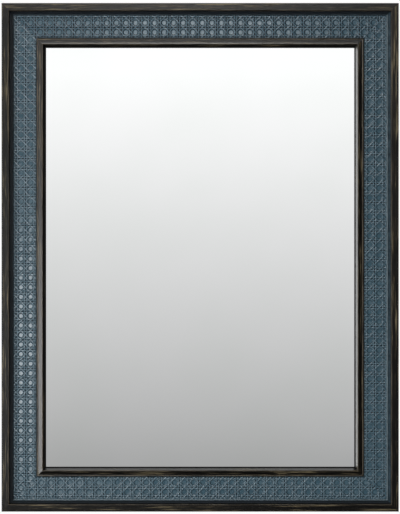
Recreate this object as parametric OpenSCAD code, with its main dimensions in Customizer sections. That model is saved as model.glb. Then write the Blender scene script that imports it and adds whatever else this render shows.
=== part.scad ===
// Wall mirror in a mitred frame: dark wooden rails with a raised outer lip, painted strips moulded
// in the pattern of open woven cane, and a narrow sight slip that overlaps the glass.
// Millimetres. X runs across the mirror, Z up, and the front faces -Y. The origin is the mirror's
// centre on the wall plane, which is where the rear faces of the four wall bumpers lie.
// Across a rail, places are counted inward from its outer edge, and heights from its back.

/* [Overall] */
// Overall width, at the outer edges of the front
mirror_w = 635; // [560:1:760]
// Overall height, at the outer edges of the front
mirror_h = 813; // [740:1:960]
// Depth of the moulding, from its back to the top of the outer lip
moulding_d = 30; // [28:0.5:36]

/* [Rail] */
// Width of the raised outer lip
lip_w = 11.9; // [9:0.1:14]
// Radius of the lip's outer arris
lip_outer_r = 2.5; // [1:0.1:4]
// Radius of the lip's inner arris
lip_inner_r = 0.8; // [0.3:0.1:1.6]
// How far the rail's outer side slopes in towards the wall
back_cut = 5; // [0:0.5:8]
// Thickness of the wood under the strip and the slip
channel_t = 14; // [13.5:0.5:16]

/* [Cane strip] */
// Width of the strip, from the lip to the sight slip
strip_w = 42.6; // [40:0.1:48]
// Thickness of the strip under its relief
strip_t = 4.2; // [3:0.1:5.5]
// Height of the cane relief
relief_h = 1.1; // [0.6:0.1:1.6]
// Width of the sunk margin between the lip and the strip's ridge
margin_w = 4.9; // [3.5:0.1:6]
// Width of the ridge
ridge_w = 1.8; // [1.2:0.1:2.6]
// Height of the ridge above the sunk margin
ridge_h = 2.3; // [1.6:0.1:3]
// Distance from the centre of one cane opening to the next
cell_pitch = 15.3; // [14:0.1:17]
// Width of a cane opening across its flats
cell_w = 8; // [6:0.1:10]
// Distance from the sight slip to the centres of the nearest row of openings
cell_inset = 9.3; // [7:0.1:11]
// Rows of whole openings
cell_rows = 2; // [1:1:2]

/* [Sight slip] */
// Width of the slip, from the strip to the glass
slip_w = 15; // [13:0.1:18]
// Height of the slip's crest above the wood that it is glued to
slip_h = 8.3; // [7:0.1:10]
// Width of the steep bevel down to the glass
bevel_w = 4.2; // [3:0.1:6]
// Height of the small land where the bevel meets the glass
bevel_land = 0.8; // [0.4:0.1:1.2]
// Width of the raised bead along the slip's outer edge
bead_w = 2.6; // [2:0.1:3.2]
// Depth of the groove between the strip and the slip
groove_d = 2.3; // [1:0.1:3]

/* [Glass and backing] */
// Width of the rabbet behind the slip
rabbet_w = 7; // [5:0.5:9]
// Gap round the glass, in the rabbet
glass_gap = 1; // [0.5:0.1:2]
// Thickness of the mirror glass
glass_t = 4; // [3:0.5:5]
// Thickness of the corrugated packing card
card_t = 3; // [2:0.5:4]
// Thickness of the backing board
board_t = 3; // [2:0.5:4]

/* [Corner nails] */
// Length of each leg of a V-nail
nail_leg = 9; // [7:0.5:11]
// Thickness of a V-nail
nail_t = 1; // [0.6:0.1:1.4]
// Height of a V-nail
nail_h = 9; // [6:0.5:11]
// Place of the outer V-nail
nail_outer_u = 17; // [12:0.5:20]
// Place of the inner V-nail
nail_inner_u = 46; // [36:0.5:48]

/* [Screws] */
// Radius of the screws
screw_r = 1.75; // [1.5:0.05:2]
// Length of the screws under the head
screw_l = 12.7; // [10:0.1:13]
// Radius of the screw heads
head_r = 3.3; // [3:0.1:3.8]
// Height of the screw heads
head_h = 1.9; // [1.4:0.1:2.2]

/* [Turn buttons] */
// Width of a turn button
button_w = 12; // [10:0.5:14]
// Thickness of a turn button
button_t = 1.3; // [0.8:0.1:1.5]
// Reach of a turn button, from its screw to its tip
button_reach = 22; // [18:0.5:26]
// Distance from the rabbet to the turn buttons' screws
button_inset = 8.5; // [7:0.5:10]
// Distance of each turn button from the middle of its rail, on the top and bottom
button_x = 120; // [90:1:160]
// Distance of each turn button from the middle of its rail, on the sides
button_z = 110; // [80:1:120]

/* [Hangers] */
// Place of the hangers across the side rails
hanger_u = 34; // [28:0.5:38]
// Height of the rings' axis above the mirror's centre
hanger_z = 190; // [175:1:230]
// Width of a strap
strap_w = 10; // [8:0.5:12]
// Thickness of a strap
strap_t = 1.1; // [0.8:0.1:1.2]
// Distance from a ring's axis down to the strap's screw
strap_drop = 18; // [17.5:0.5:22]
// Outer radius of the strap's rolled eye
eye_r = 2.1; // [1.9:0.05:2.2]
// Radius of the ring's wire
wire_r = 1.2; // [1:0.05:1.3]
// Radius of the ring's round end, on the wire's centre
ring_r = 8; // [7.5:0.1:8.5]
// Distance from the ring's axis to the far end of the ring, on the wire's centre
ring_drop = 12; // [11:0.1:12.4]

/* [Wall bumpers] */
// Radius of a bumper
bumper_r = 6.5; // [5:0.5:8]
// Thickness of a bumper, which is the gap from the frame to the wall
bumper_t = 5; // [4.9:0.1:7]
// Place of a bumper, from both outer edges
bumper_u = 33; // [30:0.5:35]

/* [Hidden] */

wood_colour = "#2f2a26";
cane_colour = "#66747c";
steel_colour = "#b9bcbf";
zinc_colour = "#c9c7bd";

// Running clearance round a pin, and the gap between flat faces that slide past each other
pin_gap = 0.05;
slide_gap = 0.3;

// Across the rail
slip_u = lip_w + strip_w;
moulding_w = slip_u + slip_w;
rail_w = moulding_w - rabbet_w;
relief_u = lip_w + margin_w + ridge_w;
button_u = rail_w - button_inset;

// Above the rail's back
rabbet_d = glass_t + card_t + board_t;
strip_d = channel_t + strip_t;
relief_d = strip_d + relief_h;
ridge_d = strip_d + ridge_h;
crest_d = channel_t + slip_h;

// Above the table that hardware is drawn on: a turn button's top with the play over it, and the
// rings' axis, which stands off so that a ring hangs clear of its strap
button_top = slide_gap + button_t + pin_gap;
axis_h = strap_t + slide_gap + wire_r;

// The slip's section: how far its bead and cove lie below the crest, and the widths between them
bead_fall = 1.9;
bead_face = 1;
bead_round = 0.6;
cove_fall = 2.1;
cove_run = 1;
crest_run = 2;
crest_w = 0.9;
crest_fall = 0.4;
// The cross recess in a screw's head, and the screw's tip
recess_w = 0.9;
recess_l = 3.6;
recess_h = 1;
tip_l = 3;
tip_r = 0.3;
// The bend at each end of a ring's bar
bend_r = 2.5;
// The bevel round a bumper's rear face
bumper_edge = 1;
// Half the angle between the legs of a V-nail
nail_angle = 35;
// How far a cutter runs past the face that it cuts
past = 1;
arc_steps = 6;
$fn = 48;

// The four sides, as the angle that turns the bottom rail to each and the rail's two lengths.
function side_angle(side) = side == "bottom" ? 0 : side == "left" ? 90 : side == "top" ? 180 : 270;
function is_level(side) = side == "top" || side == "bottom";
function side_len(side) = is_level(side) ? mirror_w : mirror_h;
function side_across(side) = is_level(side) ? mirror_h : mirror_w;
// Where the row of openings starts along each strip, as a share of the pitch.
function cell_start(side) =
    side == "bottom" ? 0.35 : side == "left" ? 0.15 : side == "top" ? -0.22 : 0.25;

// Points along a round stretch of an outline.
function arc(centre, r, from, to) = [
    for (i = [0 : arc_steps])
        let (a = from + (to - from) * i / arc_steps)
        centre + r * [cos(a), sin(a)]
];

// Puts a piece that is drawn on the bottom rail, about the middle of its outer edge, on a side.
module on_side(side)
    translate([0, -bumper_t, 0])
        rotate([0, side_angle(side), 0])
            translate([0, 0, -side_across(side) / 2])
                children();

// Sections in the rail's width and height become bars along the rail.
module bar(length)
    translate([-length / 2, 0, 0])
        rotate([0, -90, 180])
            linear_extrude(length)
                children();

// Outlines seen from the front become plates that grow towards the front.
module plate(from, thick)
    translate([0, -from, 0])
        rotate([90, 0, 0])
            linear_extrude(thick)
                children();

// The outline of a rail between two places across it, with its ends cut at 45 degrees.
module mitre_outline(length, from, to)
    polygon([
        [-length / 2 + from, from],
        [length / 2 - from, from],
        [length / 2 - to, to],
        [-length / 2 + to, to]
    ]);

module mitred(length)
    intersection() {
        bar(length) children();
        plate(0, moulding_d + past) mitre_outline(length, 0, moulding_w);
    }

// Puts hardware that is drawn lying on a table on the back of the frame, with its top to the wall.
module on_back(x, z)
    translate([x, -bumper_t, z])
        rotate([-90, 0, 0])
            children();

// Puts a turn button, or its screw, on the back of a side at a distance along the rail.
module at_button(side, along)
    on_side(side)
        translate([along, 0, button_u])
            rotate([-90, 0, 0])
                children();

module at_every_button()
    for (side = ["top", "bottom", "left", "right"], end = [-1, 1])
        at_button(side, end * (is_level(side) ? button_x : button_z)) children();

module at_every_hanger()
    for (end = [-1, 1])
        on_back(end * (mirror_w / 2 - hanger_u), hanger_z) children();

// Rails

module rail_section()
    polygon(concat(
        [[back_cut, 0]],
        arc([lip_outer_r, moulding_d - lip_outer_r], lip_outer_r, 180, 90),
        arc([lip_w - lip_inner_r, moulding_d - lip_inner_r], lip_inner_r, 90, 0),
        [[lip_w, channel_t], [rail_w, channel_t], [rail_w, 0]]
    ));

module rail(side)
    color(wood_colour)
        difference() {
            on_side(side) mitred(side_len(side)) rail_section();
            v_nails();
            at_every_button() pilot_hole(button_top);
            at_every_hanger() translate([0, strap_drop, 0]) pilot_hole(strap_t);
        }

// Cane strips

module strip_section()
    polygon([
        [lip_w, channel_t],
        [lip_w, strip_d],
        [lip_w + margin_w, strip_d],
        [lip_w + margin_w + ridge_w / 6, ridge_d - ridge_h / 8],
        [lip_w + margin_w + ridge_w / 3, ridge_d],
        [relief_u - ridge_w / 3, ridge_d],
        [relief_u - ridge_w / 6, ridge_d - ridge_h / 8],
        [relief_u, strip_d],
        [slip_u, strip_d],
        [slip_u, channel_t]
    ]);

// The openings of the cane, in whole rows from the sight slip outward.
module cell_outlines(side) {
    length = side_len(side);
    count = ceil(length / 2 / cell_pitch);
    for (row = [0 : cell_rows - 1], i = [-count : count]) {
        across = slip_u - cell_inset - row * cell_pitch;
        along = (i + cell_start(side)) * cell_pitch;
        if (abs(along) < length / 2 - across - cell_w / 4)
            translate([along, across])
                rotate(22.5)
                    circle(r = cell_w / 2 / cos(22.5), $fn = 8);
    }
}

module cane_strip(side)
    color(cane_colour)
        on_side(side) {
            mitred(side_len(side)) strip_section();
            plate(strip_d, relief_h)
                difference() {
                    mitre_outline(side_len(side), relief_u, slip_u);
                    cell_outlines(side);
                }
        }

// Sight slips

module slip_section()
    polygon([
        [slip_u, channel_t],
        [slip_u, relief_d - groove_d],
        [slip_u + bead_face, crest_d - bead_fall - bead_face],
        [slip_u + bead_face + bead_round, crest_d - bead_fall],
        [slip_u + bead_w, crest_d - bead_fall],
        [slip_u + bead_w + cove_run, crest_d - cove_fall],
        [moulding_w - bevel_w - crest_w - crest_run, crest_d - crest_fall],
        [moulding_w - bevel_w - crest_w, crest_d],
        [moulding_w - bevel_w - crest_w / 3, crest_d - crest_fall / 4],
        [moulding_w - bevel_w, crest_d - crest_fall],
        [moulding_w, rabbet_d + bevel_land],
        [moulding_w, rabbet_d],
        [rail_w, rabbet_d],
        [rail_w, channel_t]
    ]);

module sight_slip(side)
    color(wood_colour)
        on_side(side) mitred(side_len(side)) slip_section();

// Corner nails

module v_nail_outline()
    for (turn = [-nail_angle, nail_angle])
        rotate(turn)
            translate([0, -nail_t / 2])
                square([nail_leg, nail_t]);

// Each V points at its corner, astride the mitre, and is driven in flush from the back.
module v_nails()
    for (x = [-1, 1], z = [-1, 1], u = [nail_outer_u, nail_inner_u])
        translate([x * (mirror_w / 2 - u), -bumper_t, z * (mirror_h / 2 - u)])
            plate(0, nail_h)
                rotate(atan2(-z, -x))
                    v_nail_outline();

module corner_v_nails()
    color(steel_colour) v_nails();

// Glass and backing

module rabbet_panel(from, thick)
    translate([0, -bumper_t, 0])
        plate(from, thick)
            square([
                mirror_w - 2 * rail_w - 2 * glass_gap,
                mirror_h - 2 * rail_w - 2 * glass_gap
            ], center = true);

module mirror_glass()
    color("#dfe5e6") rabbet_panel(board_t + card_t, glass_t);

module packing_card()
    color("#b08d62") rabbet_panel(board_t, card_t);

module backing_board()
    color("#7a5a3c") rabbet_panel(0, board_t);

// Screws

// A pan-head screw with its head's underside at a height above the table.
module screw(seat)
    translate([0, 0, seat])
        difference() {
            rotate_extrude()
                polygon([
                    [0, head_h],
                    [head_r * 0.55, head_h],
                    [head_r * 0.85, head_h * 0.8],
                    [head_r, head_h * 0.4],
                    [head_r, 0],
                    [screw_r, 0],
                    [screw_r, tip_l - screw_l],
                    [tip_r, -screw_l],
                    [0, -screw_l]
                ]);
            for (turn = [0, 90])
                rotate(turn)
                    translate([-recess_l / 2, -recess_w / 2, head_h - recess_h])
                        cube([recess_l, recess_w, recess_h + past]);
        }

// The hole in the rail for a screw whose head seats at a height above the table.
module pilot_hole(seat)
    translate([0, 0, seat - screw_l])
        cylinder(r = screw_r + pin_gap, h = screw_l);

module turn_button_screws()
    color(zinc_colour)
        at_every_button() screw(button_top);

module hanger_screws()
    color(zinc_colour)
        at_every_hanger() translate([0, strap_drop, 0]) screw(strap_t);

// Turn buttons

module turn_button(side, end) {
    straight = button_reach - button_w / 2;
    color(steel_colour)
        at_button(side, end * (is_level(side) ? button_x : button_z))
            translate([0, 0, slide_gap])
                linear_extrude(button_t)
                    difference() {
                        union() {
                            circle(d = button_w);
                            translate([-button_w / 2, -straight]) square([button_w, straight]);
                            translate([0, -straight]) circle(d = button_w);
                        }
                        circle(r = screw_r + pin_gap);
                    }
}

// Hangers

module hanger_strap(end)
    color(steel_colour)
        on_back(end * (mirror_w / 2 - hanger_u), hanger_z)
            difference() {
                union() {
                    linear_extrude(strap_t) {
                        translate([-strap_w / 2, -eye_r]) square([strap_w, strap_drop + eye_r]);
                        translate([0, strap_drop]) circle(d = strap_w);
                    }
                    translate([-strap_w / 2, 0, axis_h])
                        rotate([0, 90, 0])
                            cylinder(r = eye_r, h = strap_w);
                }
                translate([-strap_w, 0, axis_h])
                    rotate([0, 90, 0])
                        cylinder(r = wire_r + pin_gap, h = 2 * strap_w);
                translate([0, strap_drop, -past])
                    cylinder(r = screw_r + pin_gap, h = strap_t + 2 * past);
            }

module wire_arc(r, from, to)
    rotate(from)
        rotate_extrude(angle = to - from)
            translate([r, 0])
                circle(r = wire_r);

// A D-shaped ring: a bar in the strap's eye, a bend at each end, two legs and a round end.
module hanger_ring(end)
    color(steel_colour)
        on_back(end * (mirror_w / 2 - hanger_u), hanger_z)
            translate([0, 0, axis_h]) {
                bar_half = ring_r - bend_r;
                round_y = ring_drop - ring_r;
                translate([-bar_half, 0, 0]) rotate([0, 90, 0]) cylinder(r = wire_r, h = 2 * bar_half);
                translate([bar_half, bend_r, 0]) wire_arc(bend_r, -90, 0);
                translate([-bar_half, bend_r, 0]) wire_arc(bend_r, 180, 270);
                for (x = [-ring_r, ring_r])
                    translate([x, bend_r, 0])
                        rotate([-90, 0, 0])
                            cylinder(r = wire_r, h = round_y - bend_r);
                translate([0, round_y, 0]) wire_arc(ring_r, 0, 180);
            }

// Wall bumpers

module bumper(x, z)
    color("#26262a")
        on_back(x * (mirror_w / 2 - bumper_u), z * (mirror_h / 2 - bumper_u))
            rotate_extrude()
                polygon([
                    [0, 0],
                    [bumper_r, 0],
                    [bumper_r, bumper_t - bumper_edge],
                    [bumper_r - bumper_edge, bumper_t],
                    [0, bumper_t]
                ]);

rail("top");  // rail_top
rail("bottom");  // rail_bottom
rail("left");  // rail_left
rail("right");  // rail_right
cane_strip("top");  // cane_strip_top
cane_strip("bottom");  // cane_strip_bottom
cane_strip("left");  // cane_strip_left
cane_strip("right");  // cane_strip_right
sight_slip("top");  // sight_slip_top
sight_slip("bottom");  // sight_slip_bottom
sight_slip("left");  // sight_slip_left
sight_slip("right");  // sight_slip_right
corner_v_nails();
mirror_glass();
packing_card();
backing_board();
turn_button("top", 1);  // turn_button_top_left
turn_button("top", -1);  // turn_button_top_right
turn_button("bottom", -1);  // turn_button_bottom_left
turn_button("bottom", 1);  // turn_button_bottom_right
turn_button("left", -1);  // turn_button_left_upper
turn_button("left", 1);  // turn_button_left_lower
turn_button("right", 1);  // turn_button_right_upper
turn_button("right", -1);  // turn_button_right_lower
turn_button_screws();
hanger_strap(-1);  // hanger_strap_left
hanger_strap(1);  // hanger_strap_right
hanger_ring(-1);  // hanger_ring_left
hanger_ring(1);  // hanger_ring_right
hanger_screws();
bumper(-1, 1);  // bumper_top_left
bumper(1, 1);  // bumper_top_right
bumper(-1, -1);  // bumper_bottom_left
bumper(1, -1);  // bumper_bottom_right
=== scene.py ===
import math
import bpy
import numpy as np
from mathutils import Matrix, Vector


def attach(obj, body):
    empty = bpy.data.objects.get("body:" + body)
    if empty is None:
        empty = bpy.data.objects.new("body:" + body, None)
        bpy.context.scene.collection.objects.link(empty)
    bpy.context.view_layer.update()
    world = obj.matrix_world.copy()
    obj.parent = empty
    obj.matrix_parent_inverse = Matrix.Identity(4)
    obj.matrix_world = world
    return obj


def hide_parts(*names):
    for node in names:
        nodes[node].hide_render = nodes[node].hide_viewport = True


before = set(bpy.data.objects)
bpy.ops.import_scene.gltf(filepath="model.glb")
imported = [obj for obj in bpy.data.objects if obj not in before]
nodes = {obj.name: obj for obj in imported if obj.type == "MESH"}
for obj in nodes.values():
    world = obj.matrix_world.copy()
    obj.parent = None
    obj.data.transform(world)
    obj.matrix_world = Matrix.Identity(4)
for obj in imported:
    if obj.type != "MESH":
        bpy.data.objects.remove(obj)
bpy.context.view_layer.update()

mm = 0.001


# sRGB hex to the linear colour that Blender's sockets take
def hexColour(text):
    channels = [int(text[i:i + 2], 16) / 255 for i in (1, 3, 5)]
    linear = [c / 12.92 if c <= 0.04045 else ((c + 0.055) / 1.055) ** 2.4 for c in channels]
    return (*linear, 1.0)


# Adds a node. An input that is a node or a socket is linked, any other is set; "stops" fills a colour ramp
def addNode(tree, kind, settings={}, inputs={}):
    node = tree.nodes.new("ShaderNode" + kind)
    for name, value in settings.items():
        if name == "stops":
            while len(node.color_ramp.elements) < len(value):
                node.color_ramp.elements.new(0.5)
            for element, (place, colour) in zip(node.color_ramp.elements, value):
                element.position = place
                element.color = hexColour(colour) if isinstance(colour, str) else (*[colour] * 3, 1)
        else:
            setattr(node, name, value)
    for name, value in inputs.items():
        socket = node.inputs[name]
        if isinstance(name, str):
            socket = next(s for s in node.inputs if s.name == name and s.enabled)
        if isinstance(value, bpy.types.Node):
            value = next(s for s in value.outputs if s.enabled)
        if isinstance(value, bpy.types.NodeSocket):
            tree.links.new(value, socket)
        else:
            socket.default_value = value
    return node


# An empty material with its tree, and the place on the object in metres
def newMaterial(name):
    material = bpy.data.materials.new(name)
    material.use_nodes = True
    material.node_tree.nodes.clear()
    place = addNode(material.node_tree, "TexCoord").outputs["Object"]
    return material, material.node_tree, place


def dress(material, *names):
    for name in names:
        nodes[name].data.materials.clear()
        nodes[name].data.materials.append(material)


# The mirror as it is drawn in the part's source, in millimetres
mirror = {
    "width": 635,
    "height": 813,
    "wallGap": 5,           # from the wall to the back of the frame
    "lipWidth": 11.9,
    "stripWidth": 42.6,
    "mouldingWidth": 69.5,  # from the outer edge to the sight edge
    "lipTop": 30,           # heights above the back of the frame
    "stripFrom": 14,
    "stripFace": 18.2,
}
sides = {"bottom": 0, "left": 90, "top": 180, "right": 270}
slipPlace = mirror["lipWidth"] + mirror["stripWidth"]


# Turns places on a rail into the shared frame: along it, inward from its outer edge, and above its back
def onRail(side, along, inward, above):
    turn = math.radians(sides[side])
    level = side in ("top", "bottom")
    across = mirror["height"] if level else mirror["width"]
    up = np.asarray(inward, float) - across / 2
    along = np.asarray(along, float)
    x = along * math.cos(turn) + up * math.sin(turn)
    z = up * math.cos(turn) - along * math.sin(turn)
    y = -(mirror["wallGap"] + np.asarray(above, float))
    return np.stack(np.broadcast_arrays(x, y, z), axis=-1) * mm


# The picture is 400 x 514 pixels at 1.6 mm a pixel, taken square on from 2.5 m in front of the lip
camera = {
    "distance": 2500,
    "pictureHeight": 820.8,
    "sensor": 36,
    "sideways": -0.26,
    "up": 0.57,
    "seesTo": 50,           # metres
}
eyeData = bpy.data.cameras.new("camera")
eyeData.lens = camera["sensor"] / 2 / (camera["pictureHeight"] / 2 / camera["distance"])
eyeData.sensor_width = camera["sensor"]
eyeData.clip_end = camera["seesTo"]
eye = bpy.data.objects.new("camera", eyeData)
frontFace = -(mirror["wallGap"] + mirror["lipTop"])
eye.location = (camera["sideways"] * mm, (frontFace - camera["distance"]) * mm, camera["up"] * mm)
eye.rotation_euler = (math.pi / 2, 0, 0)
bpy.context.scene.collection.objects.link(eye)
bpy.context.scene.camera = eye
bpy.context.scene.view_settings.view_transform = "Standard"
print("camera placed")


# Cane strips: open octagonal cane weave moulded in composition, drawn as a fine mesh of its height
cane = {
    "marginWidth": 4.9,
    "ridgeWidth": 1.8,
    "ridgeHeight": 2.3,
    "ridgeSteps": 10,
    "ridgePowers": (0.8, 0.7),    # across and up, 1 would make the ridge's section an ellipse
    "under": 0.9,                 # how far the ground lies under the strip's face
    "underRidge": 0.4,            # how far the weave runs on under the ridge
    "pitch": 15.3,
    "inset": 9.3,                 # from the slip to the middles of the nearest openings
    "floor": 17.6,                # floor of the openings and height of the relief over it
    "height": 1.75,
    # Widths in pitches and heights as shares of the relief
    "starts": {"bottom": 0.35, "left": 0.15, "top": -0.22, "right": 0.25},
    "pairGap": 0.125,             # half the distance between the two strands of a pair
    "strand": 0.08,               # half the width of a strand, and of a diagonal one
    "diagonal": 0.072,
    "squareness": 4,              # power of a strand's section, 2 would make it round
    "layer": 0.72,                # usual height of a strand
    "weave": 0.2,                 # how far it rises and dips where it crosses another
    "crossing": 0.085,            # over what width
    "sweep": 0.13,                # how far a diagonal one rises and dips
    "fill": 0.1,                  # height of the composition between the strands
    "opening": 0.225,             # radius of an opening's flat floor
    "collar": 0.38,               # height of the slope round an opening
    "collarPlaces": (0.1, 0.11),  # how far from the floor it is full, and turns down
    "collarFall": 0.05,
    "blend": 7,                   # how sharply one layer stands out of the next
    # The mesh
    "cells": 28,                  # steps to a pitch
    "clearRows": 0.2,             # least room between its lines and the long edges, in steps
    "clearMitres": 0.15,
    "sharpAngle": 62,
}
# Dark glaze on the strips and painted light: about 0.4 to 0.56 shows plain paint, more is darker, less is
# rubbed lighter
glazeAndPaintedShade = {
    # Painted light on the ridges: darker on the left and top as painted shade, lighter on the bottom and
    # right as painted highlight
    "ridge": {"bottom": 0.0, "left": 0.75, "top": 0.75, "right": 0.0},
    # Painted shade in the sunk margins at the foot of the lip, deepest on the left
    "margin": {"bottom": 0.9, "left": 0.95, "top": 0.92, "right": 0.72},
    "floors": 0.38,               # on the openings' floors
    "around": 0.12,               # how much more the rest of the weave has, and more on each side
    # Painted shade: the top strip's weave, and a little the right one's, darker
    "weave": {"bottom": 0.0, "left": 0.0, "top": 0.18, "right": 0.04},
    "wiped": 0.06,                # width round a floor over which that sets in, in pitches
    "perDip": 3.6,                # for lying lower than the surroundings
    "dipLimits": (-0.2, 0.5),
    "dipOnFloors": 0.15,          # share of that on the floors
    "reach": 4,                   # of the surroundings and width of their weights, in mesh steps
    "weightWidth": 2.0,
    "mitres": 0.5,
    "skirts": 0.7,
}


def wrap(t):
    return (t + 0.5) % 1 - 0.5


# Height of the weave from 0 to 1, at places counted in pitches from the middle of an opening
def weaveHeight(a, b):
    def strand(t, half):
        return np.clip(1 - (np.abs(t) / half) ** cane["squareness"], 0, 1) ** 0.5

    def pulse(t):
        return np.exp(-(wrap(t) / cane["crossing"]) ** 2)

    gap, half, slim = cane["pairGap"], cane["strand"], cane["diagonal"]
    low, high = 0.5 - gap, 0.5 + gap
    waveB = cane["weave"] * (pulse(b - low) - pulse(b - high))
    waveA = cane["weave"] * (pulse(a - low) - pulse(a - high))
    sweep = cane["sweep"] * np.cos(2 * math.pi * a)
    layers = [
        (cane["layer"] + waveB) * strand(wrap(a - low), half),
        (cane["layer"] - waveB) * strand(wrap(a - high), half),
        (cane["layer"] - waveA) * strand(wrap(b - low), half),
        (cane["layer"] + waveA) * strand(wrap(b - high), half),
        (cane["layer"] - sweep) * strand(wrap(a - b - 0.5) / math.sqrt(2), slim),
        (cane["layer"] + sweep) * strand(wrap(a + b - 0.5) / math.sqrt(2), slim),
    ]
    fromOpening = np.hypot(wrap(a), wrap(b)) - cane["opening"]
    full, turnsDown = cane["collarPlaces"]
    rise = np.clip(fromOpening / full, 0, 1)
    fall = np.clip((fromOpening - turnsDown) / cane["collarFall"], 0, 1)
    layers.append(cane["collar"] * rise * (1 - fall) + cane["fill"] * fall)
    return np.minimum(sum(layer ** cane["blend"] for layer in layers) ** (1 / cane["blend"]), 1)


# Glaze, partly painted shade, darkens what lies lower than its surroundings, the gaps between strands most,
# and raised strands are rubbed lighter; the openings' floors keep little of it, and the weave on some sides
# gets more as painted shade
def weaveGlazeAndShade(side, height, along, across):
    reach = glazeAndPaintedShade["reach"]
    weights = np.exp(-(np.arange(-reach, reach + 1) / glazeAndPaintedShade["weightWidth"]) ** 2)
    weights /= weights.sum()
    soft = np.pad(height, reach, mode="edge")
    for axis in (1, 0):
        soft = np.apply_along_axis(np.convolve, axis, soft, weights, "valid")
    fromOpening = np.hypot(wrap(along), wrap(across)) - cane["opening"]
    kept = np.clip(fromOpening / glazeAndPaintedShade["wiped"], 0, 1)
    dip = np.clip((soft - height) * glazeAndPaintedShade["perDip"], *glazeAndPaintedShade["dipLimits"])
    dip = dip * (glazeAndPaintedShade["dipOnFloors"] + (1 - glazeAndPaintedShade["dipOnFloors"]) * kept)
    return dip + (glazeAndPaintedShade["floors"] + (glazeAndPaintedShade["around"] + glazeAndPaintedShade["weave"][side]) * kept)


# The strip's body: sunk margin, round-topped ridge and the ground that the weave stands on
def stripBody(side, length):
    ridgeFrom = mirror["lipWidth"] + cane["marginWidth"]
    ridgeMid = ridgeFrom + cane["ridgeWidth"] / 2
    face, ground = mirror["stripFace"], mirror["stripFace"] - cane["under"]
    powerAcross, powerUp = cane["ridgePowers"]
    section = [(mirror["lipWidth"], mirror["stripFrom"]), (mirror["lipWidth"], face)]
    for i in range(cane["ridgeSteps"] + 1):
        turn = math.pi * (1 - i / cane["ridgeSteps"])
        across = math.copysign(abs(math.cos(turn)) ** powerAcross, math.cos(turn))
        section.append((
            ridgeMid + cane["ridgeWidth"] / 2 * across,
            face + cane["ridgeHeight"] * math.sin(turn) ** powerUp,
        ))
    section += [(section[-1][0], ground), (slipPlace, ground), (slipPlace, mirror["stripFrom"])]
    inward = np.array([s[0] for s in section])
    above = np.array([s[1] for s in section])
    points = np.concatenate([
        onRail(side, inward - length / 2, inward, above),
        onRail(side, length / 2 - inward, inward, above),
    ])
    count = len(section)
    faces = [(i, i + count, (i + 1) % count + count, (i + 1) % count) for i in range(count)]
    faces.append(tuple(range(count)))
    faces.append(tuple(reversed(range(count, 2 * count))))
    # Ridges and margins take their amounts per side, which paint shade and highlight as the light falls on
    # each
    onRidge = above > face + cane["ridgeHeight"] / 2
    glaze = np.where(onRidge, glazeAndPaintedShade["ridge"][side], glazeAndPaintedShade["margin"][side])
    return points, faces, np.tile(glaze, 2)


# Faces from each row to the next. A square is halved along the diagonal whose ends differ less in
# height, and the faces at both ends of a row reach to the mitres
def weaveFaces(inside, index, ends, levels):
    faces = []
    for i in range(len(inside) - 1):
        here = np.flatnonzero(inside[i])
        there = np.flatnonzero(inside[i + 1])
        one, two = index[i, there[:-1]], index[i, there[1:]]
        four, three = index[i + 1, there[:-1]], index[i + 1, there[1:]]
        rising = np.abs(levels[one] - levels[three]) < np.abs(levels[two] - levels[four])
        for p, q, r, s, up in zip(one, two, three, four, rising):
            faces += [(p, q, r), (p, r, s)] if up else [(p, q, s), (q, r, s)]
        startExtra = [index[i, j] for j in here if j <= there[0]]
        endExtra = [index[i, j] for j in here if j >= there[-1]]
        faces.append((ends["left"][i], *startExtra, index[i + 1, there[0]], ends["left"][i + 1]))
        faces.append((*endExtra, ends["right"][i], ends["right"][i + 1], index[i + 1, there[-1]]))
    return faces


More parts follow.
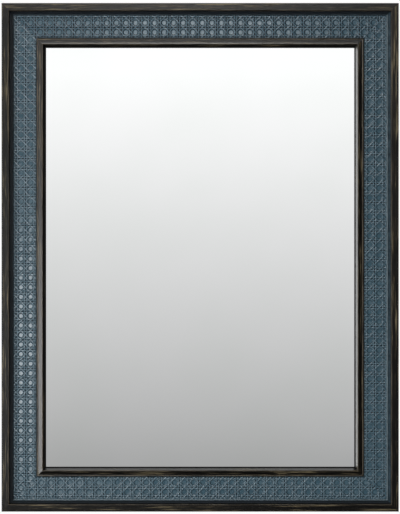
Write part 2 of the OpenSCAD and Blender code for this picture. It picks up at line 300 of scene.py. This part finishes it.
# The weave over the ground: a square mesh whose rows end on the mitres
def stripWeave(side, length):
    pitch, start = cane["pitch"], cane["starts"][side]
    step = pitch / cane["cells"]
    first = mirror["lipWidth"] + cane["marginWidth"] + cane["ridgeWidth"] - cane["underRidge"]
    origin = slipPlace - cane["inset"]

    # Lines enough for any strip, of which those on it are kept
    many = int(length / step)
    rows = origin - (np.arange(-many, many)[::-1] + 0.5) * step
    clear = cane["clearRows"] * step
    rows = rows[(rows > first + clear) & (rows < slipPlace - clear)]
    rows = np.concatenate([[first], rows, [slipPlace]])
    columns = start * pitch + (np.arange(-many, many) + 0.5) * step
    clear = cane["clearMitres"] * step
    columns = columns[np.abs(columns) < length / 2 - first - clear]
    along = (columns / pitch - start)[None, :]
    across = ((origin - rows) / pitch)[:, None]
    height = weaveHeight(along, across)
    glaze = weaveGlazeAndShade(side, height, along, across)

    half = length / 2 - rows
    inside = np.abs(columns)[None, :] < half[:, None] - clear
    index = np.full(inside.shape, -1)     # each inner point's number
    index[inside] = np.arange(inside.sum())
    rowAt, columnAt = np.nonzero(inside)
    low, tall = cane["floor"], cane["height"]
    points = [onRail(side, columns[columnAt], rows[rowAt], low + tall * height[inside])]
    glazeAndShadeParts = [glaze[inside]]
    heights = [height[inside]]
    count = len(rowAt)
    ends = {}
    for name, sign in (("left", -1), ("right", 1)):
        at = sign * half
        edge = weaveHeight(at / pitch - start, (origin - rows) / pitch)
        ends[name] = np.arange(len(rows)) + count
        points.append(onRail(side, at, rows, low + tall * edge))
        glazeAndShadeParts.append(np.full(len(rows), glazeAndPaintedShade["mitres"]))
        heights.append(edge)
        count += len(rows)
    faces = weaveFaces(inside, index, ends, np.concatenate(heights))

    # Skirts down to the ground, round the outside
    firstRow, lastRow = index[0, inside[0]], index[-1, inside[-1]]
    rim = [ends["left"][0], *firstRow, *ends["right"], *lastRow[::-1], *ends["left"][:0:-1]]
    allPoints = np.concatenate(points)
    skirt = allPoints[rim].copy()
    skirt[:, 1] = -(mirror["wallGap"] + mirror["stripFace"] - cane["under"]) * mm
    for i in range(len(rim)):
        j = (i + 1) % len(rim)
        faces.append((rim[j], rim[i], count + i, count + j))
    glazeAndShadeParts.append(np.full(len(rim), glazeAndPaintedShade["skirts"]))
    return np.concatenate([allPoints, skirt]), faces, np.concatenate(glazeAndShadeParts)


def caneStrip(side):
    length = mirror["width"] if side in ("top", "bottom") else mirror["height"]
    body, bodyFaces, bodyGlazeAndShade = stripBody(side, length)
    relief, reliefFaces, reliefGlazeAndShade = stripWeave(side, length)
    mesh = bpy.data.meshes.new("cane_relief_" + side)
    shifted = [tuple(int(p) + len(body) for p in face) for face in reliefFaces]
    mesh.from_pydata(np.concatenate([body, relief]).tolist(), [], bodyFaces + shifted)
    layer = mesh.attributes.new("glaze", "FLOAT", "POINT")
    layer.data.foreach_set("value", np.concatenate([bodyGlazeAndShade, reliefGlazeAndShade]).astype(np.float32))
    mesh.shade_smooth()
    mesh.set_sharp_from_angle(angle=math.radians(cane["sharpAngle"]))
    mesh.update()
    piece = bpy.data.objects.new("cane_relief_" + side, mesh)
    bpy.context.scene.collection.objects.link(piece)
    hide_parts("cane_strip_" + side)
    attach(piece, "frame")
    return piece


strips = {side: caneStrip(side) for side in sides}
print("cane strips:", {side: len(piece.data.polygons) for side, piece in strips.items()})


# Moulded composition under satin paint: broad soft highlights, and a dark glaze in the creases that also
# stands for painted shade there and on the shaded sides
paint = {
    "body": "#3a525e",
    "glaze": "#10181e",
    # The lightest colour, used where the amount is least: rubbed paint on raised strands, and painted
    # highlight on the bottom and right ridges
    "rubbed": "#7b8b93",
    "roughness": 0.22,
    "glazeRoughness": 0.95,
    "roughens": (0.52, 0.76),  # amounts of glaze between which one goes over to the other
    "mottle": 0.06,            # how much the glaze varies, and over what size in mm
    "mottleSize": 9,
    "peelSize": 0.9,           # mm, the brushed paint's own texture
    "peelDepth": 0.02,         # mm
}


def paintedStrip():
    material, tree, place = newMaterial("compositionPaintedSatin")
    laid = addNode(tree, "Attribute", {"attribute_name": "glaze"}).outputs["Fac"]
    mottle = addNode(tree, "TexNoise", {}, {
        "Vector": place, "Scale": 1 / (paint["mottleSize"] * mm), "Detail": 4, "Roughness": 0.6})
    shade = addNode(tree, "MapRange", {}, {
        "Value": mottle, "From Min": 0.3, "From Max": 0.7,
        "To Min": -paint["mottle"], "To Max": paint["mottle"]})
    glaze = addNode(tree, "Math", {"operation": "ADD"}, {0: laid, 1: shade})
    colour = addNode(tree, "ValToRGB", {"stops": [
        (0.12, paint["rubbed"]), (0.40, paint["body"]), (0.56, paint["body"]),
        (0.85, paint["glaze"])]}, {"Fac": glaze})
    rough = addNode(tree, "MapRange", {}, {
        "Value": glaze, "From Min": paint["roughens"][0], "From Max": paint["roughens"][1],
        "To Min": paint["roughness"], "To Max": paint["glazeRoughness"]})
    peel = addNode(tree, "TexNoise", {}, {
        "Vector": place, "Scale": 1 / (paint["peelSize"] * mm), "Detail": 3, "Roughness": 0.5})
    bump = addNode(tree, "Bump", {}, {
        "Strength": 0.5, "Distance": paint["peelDepth"] * mm, "Height": peel})
    shader = addNode(tree, "BsdfPrincipled", {}, {
        "Base Color": colour, "Roughness": rough, "Normal": bump, "IOR": 1.5})
    addNode(tree, "OutputMaterial", {}, {"Surface": shader})
    return material


stripPaint = paintedStrip()
for piece in strips.values():
    piece.data.materials.append(stripPaint)
print("strips painted")


# Open-grained oak, moulded, stained near black-brown and sealed with satin lacquer: streaks run
# along each rail, and rubbed arrises show a lighter brown
wood = {
    "darkest": "#060504",
    "dark": "#0f0d09",
    "middle": "#1d1911",
    "light": "#6b614b",
    "rubbed": "#6b6254",
    "bare": "#9a7c58",
    "bareDark": "#6f573c",
    "bareLight": "#b3966c",
    "streak": (1.7, 55),          # width and length in mm, coarser than oak's own so that it shows
    "figure": (13, 190),
    "pore": (0.5, 9),
    "patch": (6, 38),
    "poreRange": (0.56, 0.7),     # noise at which a pore begins and is full
    "poreStain": 0.65,
    "arrisRange": (1.4, 0.5),     # where wear begins and is full, in half widths of the arris
    "wearFade": 1,                # mm of height over which it sets in
    "wearInPatches": (0.1, 0.75),
    "glassLine": (2, 1.4),        # where the dark line begins and is full, mm from the sight edge
    "mitreLine": (0.5, 0.1),      # the same, from the mitre
    "mitreStain": 0.8,
    "bareFrom": (2, 2.8),         # the same for bare wood on the back, from the outer edge
    "stainRagged": 7,             # how far the streaks move that, mm
    "backDepth": 0.05,            # mm of the back that are left bare
    "toneFrom": {"streak": 0.6, "figure": 0.25},  # what each adds to the tone, and so on
    "roughFrom": {"pore": 0.2, "streak": 0.12, "bare": 0.3, "foot": 0.5},
    "reliefFrom": {"streak": 0.7, "pore": -0.8},
}
oakRail = {
    "arrises": [(0.5, 0.5), (11.5, 0.5)],  # distance in from the edge and half width, mm
    "wearAbove": mirror["wallGap"] + mirror["lipTop"] - 2,  # mm from the wall
    "tint": 0.012,
    "roughness": 0.4,
    "specular": 0.22,
    "grainDepth": 0.3,
}
oakSlip = {
    "arrises": [(56.6, 0.6), (64.6, 0.5)],
    "wearAbove": 20,
    "tint": 0.02,
    "roughness": 0.3,
    "specular": 0.27,
    "grainDepth": 0.05,
}


# The grain runs along the rail: each noise is stretched to its own width and length
def oakGrain(tree, place, level):
    grain = {}
    for kind, settings in {
        "streak": {"Detail": 3, "Roughness": 0.6, "Distortion": 0.3},
        "figure": {"Detail": 3, "Distortion": 1.6},
        "pore": {"Detail": 2},
        "patch": {"Detail": 3},
    }.items():
        across, along = [1 / (size * mm) for size in wood[kind]]
        scale = (along, across, across) if level else (across, across, along)
        stretched = addNode(tree, "VectorMath", {"operation": "MULTIPLY"}, {0: place, 1: scale})
        grain[kind] = addNode(tree, "TexNoise", {}, {"Vector": stretched, "Scale": 1, **settings})
    return grain


def stainedOak(name, level, part):
    material, tree, place = newMaterial(name)
    grain = oakGrain(tree, place, level)
    streak = grain["streak"]
    pore = addNode(tree, "MapRange", {}, {
        "Value": grain["pore"], "From Min": wood["poreRange"][0], "From Max": wood["poreRange"][1]})
    poreStain = addNode(tree, "Math", {"operation": "MULTIPLY"}, {0: pore, 1: wood["poreStain"]})
    tone = -part["tint"]
    for kind, share in wood["toneFrom"].items():
        tone = addNode(tree, "Math", {"operation": "MULTIPLY_ADD"}, {0: grain[kind], 1: share, 2: tone})
    colour = addNode(tree, "ValToRGB", {"stops": [
        (0.37, wood["darkest"]), (0.42, wood["dark"]), (0.46, wood["middle"]),
        (0.53, wood["light"])]}, {"Fac": tone})

    # Distance in from the outer edge, in metres
    spot = addNode(tree, "SeparateXYZ", {}, {"Vector": place}).outputs
    fromMiddleX = addNode(tree, "Math", {"operation": "ABSOLUTE"}, {0: spot["X"]})
    fromMiddleZ = addNode(tree, "Math", {"operation": "ABSOLUTE"}, {0: spot["Z"]})
    fromSide = addNode(tree, "Math", {"operation": "SUBTRACT"}, {
        0: mirror["width"] / 2 * mm, 1: fromMiddleX})
    fromEnd = addNode(tree, "Math", {"operation": "SUBTRACT"}, {
        0: mirror["height"] / 2 * mm, 1: fromMiddleZ})
    inward = fromEnd if level else fromSide

    # Lighter arrises, in patches, where the stain has been rubbed
    bands = []
    begins, full = wood["arrisRange"]
    for middle, half in part["arrises"]:
        off = addNode(tree, "Math", {"operation": "SUBTRACT"}, {0: inward, 1: middle * mm})
        off = addNode(tree, "Math", {"operation": "ABSOLUTE"}, {0: off})
        bands.append(addNode(tree, "MapRange", {"interpolation_type": "SMOOTHSTEP"}, {
            "Value": off, "From Min": half * begins * mm, "From Max": half * full * mm}))
    wear = addNode(tree, "Math", {"operation": "ADD"}, {0: bands[0], 1: bands[1]})
    front = addNode(tree, "MapRange", {}, {
        "Value": spot["Y"],
        "From Min": -part["wearAbove"] * mm, "From Max": -(part["wearAbove"] + wood["wearFade"]) * mm})
    patches = addNode(tree, "MapRange", {}, {
        "Value": grain["patch"], "From Min": 0.35, "From Max": 0.65,
        "To Min": wood["wearInPatches"][0], "To Max": wood["wearInPatches"][1]})
    for share in (front, patches):
        wear = addNode(tree, "Math", {"operation": "MULTIPLY"}, {0: wear, 1: share})

    # Painted shadow: a dark line along the glass, standing for the shade where the slip meets it; and a
    # thin dark line where the mitres meet
    begins, full = [(mirror["mouldingWidth"] - gap) * mm for gap in wood["glassLine"]]
    foot = addNode(tree, "MapRange", {}, {"Value": inward, "From Min": begins, "From Max": full})
    begins, full = [gap * mm for gap in wood["mitreLine"]]
    seam = addNode(tree, "Math", {"operation": "SUBTRACT"}, {0: fromSide, 1: fromEnd})
    seam = addNode(tree, "Math", {"operation": "ABSOLUTE"}, {0: seam})
    seam = addNode(tree, "MapRange", {}, {
        "Value": seam, "From Min": begins, "From Max": full, "To Max": wood["mitreStain"]})

    # The back is left bare, with a ragged edge of stain round the outside
    begins, full = [gap * mm for gap in wood["bareFrom"]]
    ragged = addNode(tree, "Math", {"operation": "MULTIPLY_ADD"}, {
        0: streak, 1: -wood["stainRagged"] * mm, 2: inward})
    bare = addNode(tree, "MapRange", {}, {"Value": ragged, "From Min": begins, "From Max": full})
    atBack = addNode(tree, "Math", {"operation": "GREATER_THAN"}, {
        0: spot["Y"], 1: -(mirror["wallGap"] + wood["backDepth"]) * mm})
    bare = addNode(tree, "Math", {"operation": "MULTIPLY"}, {0: bare, 1: atBack})
    bareTone = addNode(tree, "ValToRGB", {"stops": [
        (0.34, wood["bareDark"]), (0.42, wood["bare"]), (0.52, wood["bareLight"])]}, {"Fac": tone})

    darkest, rubbed = hexColour(wood["darkest"]), hexColour(wood["rubbed"])
    for share, over in (
        (poreStain, darkest), (wear, rubbed), (foot, darkest), (seam, darkest), (bare, bareTone),
    ):
        colour = addNode(tree, "Mix", {"data_type": "RGBA"}, {"Factor": share, "A": colour, "B": over})

    masks = {"pore": pore, "streak": streak, "bare": bare, "foot": foot}
    rough = part["roughness"]
    for kind, share in wood["roughFrom"].items():
        rough = addNode(tree, "Math", {"operation": "MULTIPLY_ADD"}, {0: masks[kind], 1: share, 2: rough})
    relief = 0
    for kind, share in wood["reliefFrom"].items():
        relief = addNode(tree, "Math", {"operation": "MULTIPLY_ADD"}, {0: masks[kind], 1: share, 2: relief})
    bump = addNode(tree, "Bump", {}, {
        "Strength": 0.6, "Distance": part["grainDepth"] * mm, "Height": relief})
    shader = addNode(tree, "BsdfPrincipled", {}, {
        "Base Color": colour, "Roughness": rough, "Normal": bump, "IOR": 1.5,
        "Specular IOR Level": part["specular"]})
    addNode(tree, "OutputMaterial", {}, {"Surface": shader})
    return material


for kind, level, ends in (("Level", True, ("top", "bottom")), ("Upright", False, ("left", "right"))):
    dress(stainedOak("oakRail" + kind, level, oakRail), *["rail_" + end for end in ends])
    dress(stainedOak("oakSlip" + kind, level, oakSlip), *["sight_slip_" + end for end in ends])
print("oak stained")


# Float glass silvered on its back: a clear, very slightly green image, faintly uneven in the silver
glass = {"silver": "#f8f9f9", "thin": "#f5f7f6", "cloudSize": 160}


def silveredGlass():
    material, tree, place = newMaterial("floatGlassSilvered")
    cloud = addNode(tree, "TexNoise", {}, {
        "Vector": place, "Scale": 1 / (glass["cloudSize"] * mm), "Detail": 2})
    colour = addNode(tree, "ValToRGB", {"stops": [
        (0.3, glass["thin"]), (0.6, glass["silver"])]}, {"Fac": cloud})
    shader = addNode(tree, "BsdfPrincipled", {}, {
        "Base Color": colour, "Metallic": 1, "Roughness": 0})
    addNode(tree, "OutputMaterial", {}, {"Surface": shader})
    return material


dress(silveredGlass(), "mirror_glass")


# Corrugated kraft card: matt, with the flutes showing faintly through its liner
card = {
    "liner": "#a5814f",
    "shade": "#8c6b3f",
    "flute": 7.5,         # mm
    "fibre": 1.1,
    "waveOfNode": 0.314,  # length of the Wave Texture's band at a scale of 1
    "fluteShows": 0.3,
    "roughness": 0.85,
    "relief": 0.2,        # mm
}


def kraftCard():
    material, tree, place = newMaterial("kraftCardCorrugated")
    flutes = addNode(tree, "TexWave", {"bands_direction": "X"}, {
        "Vector": place, "Scale": card["waveOfNode"] / (card["flute"] * mm), "Distortion": 0.3})
    flutes = flutes.outputs["Fac"]
    fibres = addNode(tree, "TexNoise", {}, {
        "Vector": place, "Scale": 1 / (card["fibre"] * mm), "Detail": 4})
    mixed = addNode(tree, "Math", {"operation": "MULTIPLY_ADD"}, {
        0: flutes, 1: card["fluteShows"], 2: fibres})
    colour = addNode(tree, "ValToRGB", {"stops": [
        (0.35, card["shade"]), (0.85, card["liner"])]}, {"Fac": mixed})
    bump = addNode(tree, "Bump", {}, {
        "Strength": 0.4, "Distance": card["relief"] * mm, "Height": flutes})
    shader = addNode(tree, "BsdfPrincipled", {}, {
        "Base Color": colour, "Roughness": card["roughness"], "Normal": bump})
    addNode(tree, "OutputMaterial", {}, {"Surface": shader})
    return material


dress(kraftCard(), "packing_card")


# Hardboard, hot-pressed from wood fibre: smooth brown face with darker flecks
board = {
    "body": "#7b5836",
    "dark": "#57391f",
    "fleck": "#98744b",
    "fleckSize": 2.4,     # mm
    "cloudSize": 70,
    "cloudShows": 0.2,
    "roughness": 0.55,
    "relief": 0.1,        # mm
}


def hardboard():
    material, tree, place = newMaterial("hardboardPressed")
    fibres = addNode(tree, "TexNoise", {}, {
        "Vector": place, "Scale": 1 / (board["fleckSize"] * mm), "Detail": 6, "Roughness": 0.7})
    clouds = addNode(tree, "TexNoise", {}, {
        "Vector": place, "Scale": 1 / (board["cloudSize"] * mm), "Detail": 3})
    mixed = addNode(tree, "Math", {"operation": "MULTIPLY_ADD"}, {
        0: clouds, 1: board["cloudShows"], 2: fibres})
    colour = addNode(tree, "ValToRGB", {"stops": [
        (0.42, board["dark"]), (0.58, board["body"]), (0.78, board["fleck"])]}, {"Fac": mixed})
    bump = addNode(tree, "Bump", {}, {
        "Strength": 0.5, "Distance": board["relief"] * mm, "Height": fibres})
    shader = addNode(tree, "BsdfPrincipled", {}, {
        "Base Color": colour, "Roughness": board["roughness"], "Normal": bump, "IOR": 1.5})
    addNode(tree, "OutputMaterial", {}, {"Surface": shader})
    return material


dress(hardboard(), "backing_board")
print("glass, card and board done")


# Zinc-plated steel: a cool grey with faint clouding, brighter on pressed sheet than on wire
zinc = {
    "pressed": ("#b9bbb8", 0.34, 7),  # colour, roughness and size of the clouds in mm
    "wire": ("#a9aba8", 0.27, 3),
    "screw": ("#c2c1b8", 0.3, 2),
    "nail": ("#8f9193", 0.42, 2),
    "cloudShows": 0.35,
    "glossier": 0.07,                 # range of the roughness in the clouds
    "duller": 0.12,
    "scratch": (1 / 3, 4),            # width and length in mm
    "scratchDepth": 0.02,
}


def zincSteel(name, kind):
    material, tree, place = newMaterial(name)
    metal, roughness, cloudSize = zinc[kind]
    clouds = addNode(tree, "TexNoise", {}, {
        "Vector": place, "Scale": 1 / (cloudSize * mm), "Detail": 5, "Roughness": 0.6})
    colour = addNode(tree, "Mix", {"data_type": "RGBA", "blend_type": "MULTIPLY"}, {
        "Factor": zinc["cloudShows"], "A": hexColour(metal), "B": clouds.outputs["Color"]})
    rough = addNode(tree, "MapRange", {}, {
        "Value": clouds, "From Min": 0.3, "From Max": 0.7,
        "To Min": roughness - zinc["glossier"], "To Max": roughness + zinc["duller"]})
    across, along = [1 / (size * mm) for size in zinc["scratch"]]
    drawn = addNode(tree, "VectorMath", {"operation": "MULTIPLY"}, {0: place, 1: (across, across, along)})
    scratches = addNode(tree, "TexNoise", {}, {"Vector": drawn, "Scale": 1, "Detail": 3})
    bump = addNode(tree, "Bump", {}, {
        "Strength": 0.3, "Distance": zinc["scratchDepth"] * mm, "Height": scratches})
    shader = addNode(tree, "BsdfPrincipled", {}, {
        "Base Color": colour, "Metallic": 1, "Roughness": rough, "Normal": bump})
    addNode(tree, "OutputMaterial", {}, {"Surface": shader})
    return material


pressedNames = [name for name in nodes if name.startswith(("turn_button_", "hanger_strap_"))]
dress(zincSteel("steelPressedZincPlated", "pressed"), *pressedNames)
dress(zincSteel("steelWireZincPlated", "wire"), "hanger_ring_left", "hanger_ring_right")
dress(zincSteel("steelScrewZincPlated", "screw"), "turn_button_screws", "hanger_screws")
dress(zincSteel("steelNailBright", "nail"), "corner_v_nails")


# Moulded rubber: matt black-grey with a fine bloom
rubber = {
    "body": "#232326",
    "bloom": "#38383b",
    "grit": 0.6,          # mm
    "gritDepth": 0.05,
    "roughness": 0.72,
}


def mouldedRubber():
    material, tree, place = newMaterial("rubberMoulded")
    grit = addNode(tree, "TexNoise", {}, {
        "Vector": place, "Scale": 1 / (rubber["grit"] * mm), "Detail": 4})
    colour = addNode(tree, "ValToRGB", {"stops": [
        (0.4, rubber["body"]), (0.75, rubber["bloom"])]}, {"Fac": grit})
    bump = addNode(tree, "Bump", {}, {
        "Strength": 0.4, "Distance": rubber["gritDepth"] * mm, "Height": grit})
    shader = addNode(tree, "BsdfPrincipled", {}, {
        "Base Color": colour, "Roughness": rubber["roughness"], "Normal": bump, "IOR": 1.52})
    addNode(tree, "OutputMaterial", {}, {"Surface": shader})
    return material


dress(mouldedRubber(), *[name for name in nodes if name.startswith("bumper_")])
print("hardware done")


# Pale floor, as far below the mirror as it hangs on a wall, nearly white to the eye near the shadow
# and white farther out. Lengths are in metres
floorValues = {
    "height": -1.45,
    "size": 24,
    "colour": "#f2f2f0",
    "speckle": "#ebebe8",
    "speckleSize": 1 / 60,
    "roughness": 0.9,
    "lift": 0.8,          # share of plain white near the shadow
    "nearby": 1.7,        # from the middle of the mirror
    "farOut": 5,
}


def paleFloor():
    half, height = floorValues["size"] / 2, floorValues["height"]
    mesh = bpy.data.meshes.new("floor")
    corners = [(-half, -half), (half, -half), (half, half), (-half, half)]
    mesh.from_pydata([(x, y, height) for x, y in corners], [], [(0, 1, 2, 3)])
    floor = bpy.data.objects.new("floor", mesh)
    bpy.context.scene.collection.objects.link(floor)
    material, tree, place = newMaterial("floorPaintMatt")
    grit = addNode(tree, "TexNoise", {}, {
        "Vector": place, "Scale": 1 / floorValues["speckleSize"], "Detail": 3})
    colour = addNode(tree, "Mix", {"data_type": "RGBA"}, {
        "Factor": grit, "A": hexColour(floorValues["speckle"]), "B": hexColour(floorValues["colour"])})
    shader = addNode(tree, "BsdfPrincipled", {}, {
        "Base Color": colour, "Roughness": floorValues["roughness"]})
    out = addNode(tree, "VectorMath", {"operation": "LENGTH"}, {0: place}).outputs["Value"]
    lift = addNode(tree, "MapRange", {"interpolation_type": "SMOOTHSTEP"}, {
        "Value": out, "From Min": floorValues["nearby"], "From Max": floorValues["farOut"],
        "To Min": floorValues["lift"], "To Max": 1})
    eyeRay = addNode(tree, "LightPath").outputs["Is Camera Ray"]
    share = addNode(tree, "Math", {"operation": "MULTIPLY"}, {0: eyeRay, 1: lift})
    mixed = addNode(tree, "MixShader", {}, {0: share, 1: shader, 2: addNode(tree, "Emission")})
    addNode(tree, "OutputMaterial", {}, {"Surface": mixed})
    mesh.materials.append(material)
    floor.visible_glossy = False


paleFloor()


# The studio. The eye sees plain white, the glass a wall that is white above and greyer below, and
# matt surfaces a weak plain grey. Satin ones and steel see a room that is dark in front, lit from the
# far left and a little from overhead, and pale behind
studio = {
    "ambient": 0.02,
    "wall": [             # slope above the level, and brightness in the glass
        (-4, 0.95), (-0.8, 0.88), (-0.42, 0.72), (-0.2, 0.35), (-0.1337, 0.381), (-0.1042, 0.456),
        (-0.0633, 0.552), (-0.0223, 0.645), (0.0187, 0.745), (0.0596, 0.855), (0.1006, 0.956),
        (0.1197, 1.0), (4, 1.0)],
    "silverKeeps": 0.935,
    "dark": 0.05,
    "farLeft": 3.4,
    "overhead": 0.2,
    "behind": 0.75,
    "leftInBevels": 4.8,
    "aboveInBevels": 2.2,
    "edges": {            # part of the ray's direction by which a light begins, and is full
        "farLeft": ("X", -0.6, -0.82),
        "level": ("aloft", 0.35, 0.2),    # keeps the far left light from reaching up or down
        "overhead": ("Z", 0.4, 0.65),
        "behind": ("Y", 0, 0.4),
        "leftInBevels": ("X", -0.3, -0.65),
        "aboveInBevels": ("Z", 0.25, 0.6),
    },
    "glassDepth": 2.5,    # rays of less depth come straight off the glass
}


def studioWorld():
    world = bpy.data.worlds.new("studio")
    bpy.context.scene.world = world
    world.use_nodes = True
    tree = world.node_tree
    tree.nodes.clear()
    way = addNode(tree, "TexCoord").outputs["Generated"]
    way = addNode(tree, "SeparateXYZ", {}, {"Vector": way}).outputs
    parts = {axis: way[axis] for axis in "XYZ"}
    parts["aloft"] = addNode(tree, "Math", {"operation": "ABSOLUTE"}, {0: way["Z"]})
    fade = {}
    for name, (part, begins, full) in studio["edges"].items():
        fade[name] = addNode(tree, "MapRange", {"interpolation_type": "SMOOTHSTEP"}, {
            "Value": parts[part], "From Min": begins, "From Max": full})
    left = addNode(tree, "Math", {"operation": "MULTIPLY"}, {0: fade["farLeft"], 1: fade["level"]})
    satin = addNode(tree, "Math", {"operation": "MULTIPLY_ADD"}, {
        0: left, 1: studio["farLeft"], 2: studio["dark"]})
    for side in ("overhead", "behind"):
        satin = addNode(tree, "Math", {"operation": "MULTIPLY_ADD"}, {
            0: fade[side], 1: studio[side], 2: satin})
    height = addNode(tree, "MapRange", {}, {"Value": way["Z"], "From Min": -1, "From Max": 1})
    stops = [(0.5 + 0.5 * math.sin(math.atan(slope)), value / studio["silverKeeps"])
             for slope, value in studio["wall"]]
    wall = addNode(tree, "ValToRGB", {"stops": stops}, {"Fac": height})
    ray = addNode(tree, "LightPath").outputs
    firstBounce = addNode(tree, "Math", {"operation": "LESS_THAN"}, {
        0: ray["Ray Depth"], 1: studio["glassDepth"]})
    inGlass = addNode(tree, "Math", {"operation": "MULTIPLY"}, {0: ray["Is Singular Ray"], 1: firstBounce})
    # The bevels beside the glass see the room by way of it, with more light from the left and above
    inBevels = addNode(tree, "Math", {"operation": "SUBTRACT"}, {0: ray["Is Singular Ray"], 1: inGlass})
    for side in ("leftInBevels", "aboveInBevels"):
        glow = addNode(tree, "Math", {"operation": "MULTIPLY"}, {0: fade[side], 1: inBevels})
        satin = addNode(tree, "Math", {"operation": "MULTIPLY_ADD"}, {0: glow, 1: studio[side], 2: satin})
    light = addNode(tree, "Mix", {"data_type": "FLOAT"}, {
        "Factor": ray["Is Glossy Ray"], "A": studio["ambient"], "B": satin})
    light = addNode(tree, "Mix", {"data_type": "FLOAT"}, {"Factor": inGlass, "A": light, "B": wall})
    seen = addNode(tree, "Math", {"operation": "MAXIMUM"}, {
        0: ray["Is Camera Ray"], 1: ray["Is Transmission Ray"]})
    light = addNode(tree, "Mix", {"data_type": "FLOAT"}, {"Factor": seen, "A": light, "B": 1})
    background = addNode(tree, "Background", {}, {"Color": (1, 1, 1, 1), "Strength": light})
    addNode(tree, "OutputWorld", {}, {"Surface": background})


studioWorld()


# Lamps: two keys from the left for form and shadow, cards that only shine in satin paint, lacquer
# and steel, and fills for the lower edge, the right side and the back. All stand above the floor
lamps = {
    "keyHigh": {"at": (-1.9, -1.9, 1.2), "size": (1.1, 1.1), "watts": 17},
    "keyLow": {"at": (-2.05, -1.9, -0.15), "size": (1, 0.8), "watts": 34},
    "cardLow": {
        "at": (-0.45, -1.2, -0.22), "facing": (-0.45, 0, -0.22), "size": (0.28, 0.52), "watts": 4.6},
    "cardTop": {"at": (0, -1.2, 0.72), "size": (0.5, 0.46), "watts": 4.8},
    "cardAbove": {"at": (-0.15, -1.2, 0.95), "size": (0.6, 0.4), "watts": 7},
    "cardHigh": {"at": (-0.05, -1.2, 1.2), "size": (0.85, 0.34), "watts": 12, "lights": "slips"},
    "cardSlip": {"at": (-0.97, -0.98, -0.42), "size": (0.45, 0.75), "watts": 30, "lights": "leftSlip"},
    "cardTopLip": {
        "at": (0, -1.2, 0.59), "facing": (0, 0, 0.59), "size": (0.4, 0.25), "watts": 4.5,
        "lights": "topRail"},
    "cardLeftLip": {
        "at": (-0.46, -1.2, -0.27), "facing": (-0.46, 0, -0.27), "size": (0.15, 0.42), "watts": 4.5,
        "lights": "leftRail"},
    "fillLow": {"at": (0.35, -1.5, -0.4), "size": (0.6, 0.3), "watts": 9},
    "fillRight": {"at": (2.3, 0.5, 0.2), "size": (1.2, 1.2), "watts": 40},
    "fillBack": {"at": (0.8, 2.4, 1.6), "size": (1.6, 1.6), "watts": 85},
}
# No lamp shows in the glass, and four cards shine in the sight slips, top rail or left rail alone
litPieces = {
    "allButGlass": ["mirror_glass"],
    "slips": ["sight_slip_" + side for side in sides],
    "leftSlip": ["sight_slip_left"],
    "topRail": ["rail_top"],
    "leftRail": ["rail_left"],
}
lit = {}
for group, pieceNames in litPieces.items():
    lit[group] = bpy.data.collections.new("lit_" + group)
    for name in pieceNames:
        lit[group].objects.link(nodes[name])
lit["allButGlass"].collection_objects[0].light_linking.link_state = "EXCLUDE"
for name, values in lamps.items():
    data = bpy.data.lights.new("lamp_" + name, "AREA")
    data.shape = "RECTANGLE"
    data.size, data.size_y = values["size"]
    data.energy = values["watts"]
    lamp = bpy.data.objects.new("lamp_" + name, data)
    lamp.location = values["at"]
    aim = Vector(values.get("facing", (0, 0, 0))) - lamp.location
    lamp.rotation_euler = aim.to_track_quat("-Z", "Y").to_euler()
    lamp.visible_camera = False
    lamp.visible_glossy = name.startswith("card")
    lamp.visible_diffuse = not name.startswith("card")
    lamp.light_linking.receiver_collection = lit[values.get("lights", "allButGlass")]
    bpy.context.scene.collection.objects.link(lamp)
print("studio lit")
